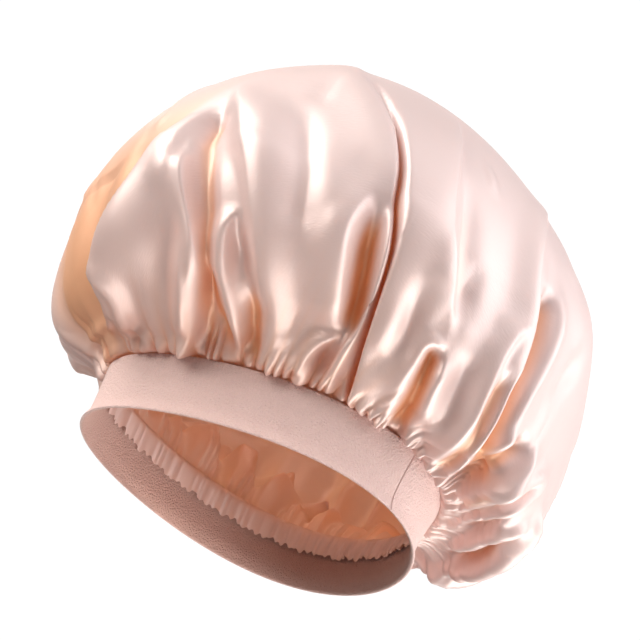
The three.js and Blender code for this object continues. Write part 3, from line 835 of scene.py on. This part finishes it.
def woven_satin(sizes):
    """Polyester satin: long glossy floats over a fine weave, so it shines in streaks square to the
    floats, is pale pink in the light and lets an orange glow through."""
    paint = Paint("woven_satin")
    cut = paint.node("ShaderNodeUVMap", {"uv_map": "cut"}).outputs["UV"]
    place = paint.node("ShaderNodeTexCoord").outputs["Object"]
    # clouds about 60 mm across, where the pink is slightly deeper
    cloud = paint.node("ShaderNodeTexNoise", Vector=place, Scale=16.0, Detail=3.0).outputs["Fac"]
    body = paint.node(
        "ShaderNodeMix",
        {"data_type": "RGBA"},
        _0=cloud,
        _6=opaque(sizes.colour),
        _7=opaque([c * 0.93 for c in sizes.colour[:3]]),
    ).outputs[2]
    # painted glow and shade: the orange of light that has crossed the cloth several times, painted into
    # the colour in the valleys, at the neck and in the thin place
    painted_glow = paint.node("ShaderNodeAttribute", {"attribute_name": "painted_glow"}).outputs["Fac"]
    body = paint.node(
        "ShaderNodeMix", {"data_type": "RGBA"}, _0=painted_glow, _6=body, _7=opaque(sizes.valley)
    ).outputs[2]
    # threads are drawn 0.5 mm wide and 2 mm long, coarser than the real 0.1 mm, so that they show at all
    threads = paint.node("ShaderNodeMapping", Vector=cut, Scale=(2000.0, 500.0, 1.0)).outputs["Vector"]
    weave = paint.node("ShaderNodeTexNoise", Vector=threads, Scale=1.0, Detail=1.0).outputs["Fac"]
    bump = paint.node("ShaderNodeBump", Height=weave, Strength=0.3, Distance=0.0003).outputs["Normal"]
    tangent = paint.node("ShaderNodeTangent", {"direction_type": "UV_MAP", "uv_map": "cut"}).outputs[0]
    cloth = paint.node(
        "ShaderNodeBsdfPrincipled",
        Base_Color=body,
        Metallic=0.28,
        Roughness=0.43,
        IOR=1.55,
        Specular_IOR_Level=0.9,
        Anisotropic=0.45,
        Normal=bump,
        Tangent=tangent,
        Sheen_Weight=0.06,
        Sheen_Roughness=0.4,
    ).outputs["BSDF"]
    through = paint.node("ShaderNodeBsdfTranslucent", Color=opaque(sizes.glow)).outputs["BSDF"]
    mixed = paint.node("ShaderNodeMixShader", _0=0.16, _1=cloth, _2=through).outputs[0]
    return paint.finish(mixed)


def knitted_elastic(sizes):
    """Plush knitted elastic: matt, with a fine pebbled face and a faint bloom of loose fibre."""
    paint = Paint("knitted_elastic")
    place = paint.node("ShaderNodeTexCoord").outputs["Object"]
    # pebbles about 1.1 mm across
    pebble = paint.node("ShaderNodeTexVoronoi", Vector=place, Scale=900.0).outputs["Distance"]
    fibre = paint.node("ShaderNodeTexNoise", Vector=place, Scale=1600.0, Detail=3.0).outputs["Fac"]
    relief = paint.node(
        "ShaderNodeMath", {"operation": "MULTIPLY_ADD"}, _0=pebble, _1=-0.7, _2=fibre
    ).outputs[0]
    bump = paint.node("ShaderNodeBump", Height=relief, Strength=1.0, Distance=0.0008).outputs["Normal"]
    tone = paint.node(
        "ShaderNodeMix",
        {"data_type": "RGBA"},
        _0=fibre,
        _6=opaque([c * 0.9 for c in sizes.colour[:3]]),
        _7=opaque([min(c * 1.08, 1) for c in sizes.colour[:3]]),
    ).outputs[2]
    # painted shade darkens the inner face, which lies in shade inside the crown, and the joint's thread
    # is darker too, with painted shade in its groove
    shade = paint.node("ShaderNodeAttribute", {"attribute_name": "shade"}).outputs["Fac"]
    tone = paint.node(
        "ShaderNodeMix",
        {"data_type": "RGBA"},
        _0=shade,
        _6=tone,
        _7=opaque([c * share for c, share in zip(sizes.colour, sizes.inner_painted_shade)]),
    ).outputs[2]
    knit = paint.node(
        "ShaderNodeBsdfPrincipled",
        Base_Color=tone,
        Roughness=0.85,
        IOR=1.5,
        Specular_IOR_Level=0.25,
        Normal=bump,
        Sheen_Weight=0.35,
        Sheen_Roughness=0.5,
    ).outputs["BSDF"]
    return paint.finish(knit)


def matt_paper(name, hex_colour):
    """Seamless studio paper: plain and matt."""
    paint = Paint(name)
    paper = paint.node(
        "ShaderNodeBsdfPrincipled", Base_Color=(*linear(hex_colour), 1.0), Roughness=0.9, IOR=1.5
    ).outputs["BSDF"]
    return paint.finish(paper)


class BONNET_OT_crown(bpy.types.Operator):
    """Makes the satin crown with its folds, gathers and raw edge"""

    bl_idname = "bonnet.crown"
    bl_label = "Satin crown"

    columns = 860
    edge_rows = 8
    crown_rows = 106
    # the rows stand closer towards the neck by this power, and the columns by this share at this turn
    row_power = 1.5
    crowding = 0.35
    crowded_at = math.radians(95)

    def execute(self, context):
        sizes = context.scene.bonnet_crown
        band = context.scene.bonnet_band
        even = np.linspace(0, 2 * math.pi, self.columns, endpoint=False)
        turn = even - self.crowding * (np.sin(even - self.crowded_at) + math.sin(self.crowded_at))
        edge = np.linspace(-1, 0, self.edge_rows, endpoint=False)
        up = (np.arange(self.crown_rows) / self.crown_rows) ** self.row_power
        rise = np.concatenate([edge, up])
        points, painted_glow = crown_surface(sizes, band, turn[None, :], rise[:, None])
        points = points.reshape(-1, 3)
        top = crown_base(sizes, band, np.zeros((1, 1)), np.ones((1, 1))).reshape(1, 3)
        faces = grid_faces(self.columns, len(rise))
        last = (len(rise) - 1) * self.columns
        column = np.arange(self.columns)
        beside = (column + 1) % self.columns
        cap = np.stack([last + column, last + beside, np.full(self.columns, len(points))], -1)
        triangles = np.concatenate([faces[:, [0, 1, 3]], faces[:, [1, 2, 3]], cap])
        # on the flat disc the raw edge, at rise -1, lies at the full radius and the top at the centre
        radius = (1 - rise) * sizes.cut / 4
        flat = np.stack(
            [radius[:, None] * np.sin(turn)[None, :], radius[:, None] * np.cos(turn)[None, :]], -1
        ).reshape(-1, 2)
        flat = np.concatenate([flat, [[0.0, 0.0]]])
        crown = fill_mesh("satin_crown", np.concatenate([points, top]), triangles, flat)
        # each point's share of painted glow and shade, which the satin's colour reads
        layer = crown.data.attributes.new("painted_glow", "FLOAT", "POINT")
        layer.data.foreach_set("value", np.append(painted_glow.ravel(), 0).astype(np.float32))
        crown.data.materials.append(woven_satin(sizes))
        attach(crown, "root")
        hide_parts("crown")
        return {"FINISHED"}


class BONNET_OT_band(bpy.types.Operator):
    """Makes the elastic band with its rolled rim and its seam"""

    bl_idname = "bonnet.band"
    bl_label = "Elastic band"

    columns = 640
    section_rows = 14
    # the joint's thread and painted shade in its groove, as a share of the inner face's painted shade
    seam_thread_and_painted_shade = 0.4

    def execute(self, context):
        sizes = context.scene.bonnet_band
        even = np.linspace(0, 2 * math.pi, self.columns, endpoint=False)
        half_seam = sizes.seam_width / (RIM_HALF_LENGTH + RIM_HALF_WIDTH)
        near = SEAM_TURN + half_seam * np.linspace(-2, 2, 17)
        turn = np.sort(np.concatenate([even[np.abs(even - SEAM_TURN) > 2 * half_seam], near]))
        # the section goes up the outer face, round the top edge, down the inner face and round the rim
        up = np.linspace(0, 1, self.section_rows)
        round_edge = np.linspace(0, math.pi, 9)[1:-1]
        half_wall = sizes.wall / 2
        straight = BAND_HEIGHT - 2 * half_wall
        height = np.concatenate(
            [
                half_wall + straight * up,
                half_wall + straight + half_wall * np.sin(round_edge),
                half_wall + straight * up[::-1],
                half_wall - half_wall * np.sin(round_edge),
            ]
        )
        depth = np.concatenate(
            [
                np.zeros_like(up),
                half_wall * (1 - np.cos(round_edge)),
                np.full_like(up, sizes.wall),
                half_wall * (1 + np.cos(round_edge)),
            ]
        )
        t, h = turn[None, :], height[:, None]
        groove = sizes.seam_depth * np.exp(-(((t - SEAM_TURN) / half_seam) ** 4))
        outer = (depth < half_wall)[:, None]
        x, y = rim_points(t, band_stand_out(sizes, h, t) - depth[:, None] - groove * outer)
        z = np.broadcast_to(h, x.shape)
        points = np.stack([x, y, z], -1).reshape(-1, 3)
        band = fill_mesh("elastic_band", points, grid_faces(len(turn), len(height), close_rows=True))
        # painted shade over the inner face, and the joint's thread colour with painted shade in its
        # groove
        inner = smooth(depth / sizes.wall, 0.2, 0.9)[:, None]
        seam = self.seam_thread_and_painted_shade * groove / sizes.seam_depth * outer
        thread_and_painted_shades = np.broadcast_to(np.maximum(seam, inner), x.shape)
        shade = band.data.attributes.new("shade", "FLOAT", "POINT")
        shade.data.foreach_set("value", thread_and_painted_shades.astype(np.float32).ravel())
        band.data.materials.append(knitted_elastic(sizes))
        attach(band, "root")
        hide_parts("band")
        return {"FINISHED"}


class BONNET_OT_studio(bpy.types.Operator):
    """Makes the floor, the lights, the surroundings and the camera"""

    bl_idname = "bonnet.studio"
    bl_label = "Studio"

    floor_height = -2.6
    floor_size = 12.0
    # place and aim in metres, size in metres, watts, width of beam in degrees, colour
    lights = (
        ("left_softbox", (0.6, -1.4, 0.65), (0, 0, 0.13), 1.7, 47, 180, 0xFFF8F0),
        ("high_softbox", (0.5, 0.6, 1.35), (0, 0, 0.13), 1.2, 3, 180, 0xFFF9F6),
        ("right_softbox", (0.5, 1.7, 0.3), (0, 0, 0.13), 3.0, 14, 180, 0xFFFAF8),
        ("near_softbox", (0.8, 1.35, 0.7), (0, 0, 0.13), 1.6, 18, 180, 0xFFFAF8),
        ("lower_softbox", (-0.1, 1.4, -0.95), (0, 0, 0.13), 2.0, 48, 180, 0xFFFAF4),
        ("front_softbox", (1.3, 0.1, 1.15), (0, 0, 0.13), 1.4, 4, 180, 0xFFFBFA),
        ("low_softbox", (0.25, 0.1, -1.7), (-0.01, 0, 0), 0.06, 0.085, 4.2, 0xFFF4E6),
    )

    # heading of each glow of the surroundings, the cosines between which it rises, and its two levels
    glows = (
        ((-0.847, 0.102, 0.521), 0.84, 0.95, 0.0, 1.05),
        ((0.0, 0.0, 1.0), -0.2, 0.6, 0.06, 0.25),
    )

    def execute(self, context):
        half = self.floor_size / 2
        corners = np.array([[-half, -half], [half, -half], [half, half], [-half, half]])
        points = np.column_stack([corners, np.full(4, self.floor_height)])
        floor = fill_mesh("studio_floor", points, np.array([[0, 1, 2, 3]]))
        floor.data.materials.append(matt_paper("studio_paper", 0xCAC8C6))
        for name, place, aim, size, watts, beam, colour in self.lights:
            lamp = bpy.data.lights.new(name, "AREA")
            lamp.size = size
            lamp.energy = watts
            lamp.spread = math.radians(beam)
            lamp.color = linear(colour)
            light = bpy.data.objects.new(name, lamp)
            light.location = place
            light.rotation_euler = (Vector(aim) - Vector(place)).to_track_quat("-Z", "Y").to_euler()
            context.scene.collection.objects.link(light)
        self.surroundings(context.scene)
        self.camera(context.scene)
        context.scene.view_settings.view_transform = "Standard"
        return {"FINISHED"}

    def surroundings(self, scene):
        """White paper behind the bonnet, and a dim room round it that is darker below, so that the satin
        has something dark to mirror as well as something pale."""
        world = bpy.data.worlds.new("studio_world")
        world.use_nodes = True
        tree = world.node_tree
        tree.nodes.clear()
        place = tree.nodes.new("ShaderNodeTexCoord").outputs["Generated"]
        shares = []
        for heading, start, end, low, high in self.glows:
            toward = tree.nodes.new("ShaderNodeVectorMath")
            toward.operation = "DOT_PRODUCT"
            toward.inputs[1].default_value = heading
            shade = tree.nodes.new("ShaderNodeMapRange")
            shade.interpolation_type = "SMOOTHSTEP"
            for key, value in zip(("From Min", "From Max", "To Min", "To Max"), (start, end, low, high)):
                shade.inputs[key].default_value = value
            tree.links.new(place, toward.inputs[0])
            tree.links.new(toward.outputs["Value"], shade.inputs["Value"])
            shares.append(shade.outputs["Result"])
        brighter = tree.nodes.new("ShaderNodeMath")
        brighter.operation = "MAXIMUM"
        light = tree.nodes.new("ShaderNodeBackground")
        out = tree.nodes.new("ShaderNodeOutputWorld")
        tree.links.new(shares[0], brighter.inputs[0])
        tree.links.new(shares[1], brighter.inputs[1])
        tree.links.new(brighter.outputs["Value"], light.inputs["Color"])
        tree.links.new(light.outputs["Background"], out.inputs["Surface"])
        scene.world = world

    def camera(self, scene):
        """The photograph's camera: below the bonnet, looking up under it, and rolled."""
        compass, lift, roll = (math.radians(a) for a in (CAMERA_COMPASS, CAMERA_LIFT, CAMERA_ROLL))
        ahead = Vector(
            (
                -math.cos(lift) * math.cos(compass),
                -math.cos(lift) * math.sin(compass),
                math.sin(lift),
            )
        )
        level = ahead.cross(Vector((0, 0, 1))).normalized()
        above = level.cross(ahead)
        right = level * math.cos(roll) + above * math.sin(roll)
        up = above * math.cos(roll) - level * math.sin(roll)
        view = bpy.data.cameras.new("photo_camera")
        view.sensor_fit = "HORIZONTAL"
        view.angle = math.radians(CAMERA_ANGLE)
        camera = bpy.data.objects.new("photo_camera", view)
        turned = Matrix((right, up, -ahead)).transposed().to_4x4()
        camera.matrix_world = Matrix.Translation(CAMERA_PLACE) @ turned
        scene.collection.objects.link(camera)
        scene.camera = camera


class BONNET_PT_sidebar(bpy.types.Panel):
    """Lists the bonnet's pieces and its sizes"""

    bl_idname = "BONNET_PT_sidebar"
    bl_label = "Sleep bonnet"
    bl_space_type = "VIEW_3D"
    bl_region_type = "UI"
    bl_category = "Bonnet"

    def draw(self, context):
        for operator in (BONNET_OT_band, BONNET_OT_crown, BONNET_OT_studio):
            self.layout.operator(operator.bl_idname)
        for group in (context.scene.bonnet_band, context.scene.bonnet_crown):
            for key in group.__annotations__:
                self.layout.prop(group, key)


CLASSES = (BandSizes, CrownSizes, BONNET_OT_band, BONNET_OT_crown, BONNET_OT_studio, BONNET_PT_sidebar)


def register():
    for each in CLASSES:
        bpy.utils.register_class(each)
    bpy.types.Scene.bonnet_band = PointerProperty(type=BandSizes)
    bpy.types.Scene.bonnet_crown = PointerProperty(type=CrownSizes)


def unregister():
    del bpy.types.Scene.bonnet_crown
    del bpy.types.Scene.bonnet_band
    for each in reversed(CLASSES):
        bpy.utils.unregister_class(each)


def main():
    register()
    bpy.ops.bonnet.studio()
    bpy.ops.bonnet.band()
    bpy.ops.bonnet.crown()


if __name__ == "__main__":
    main()
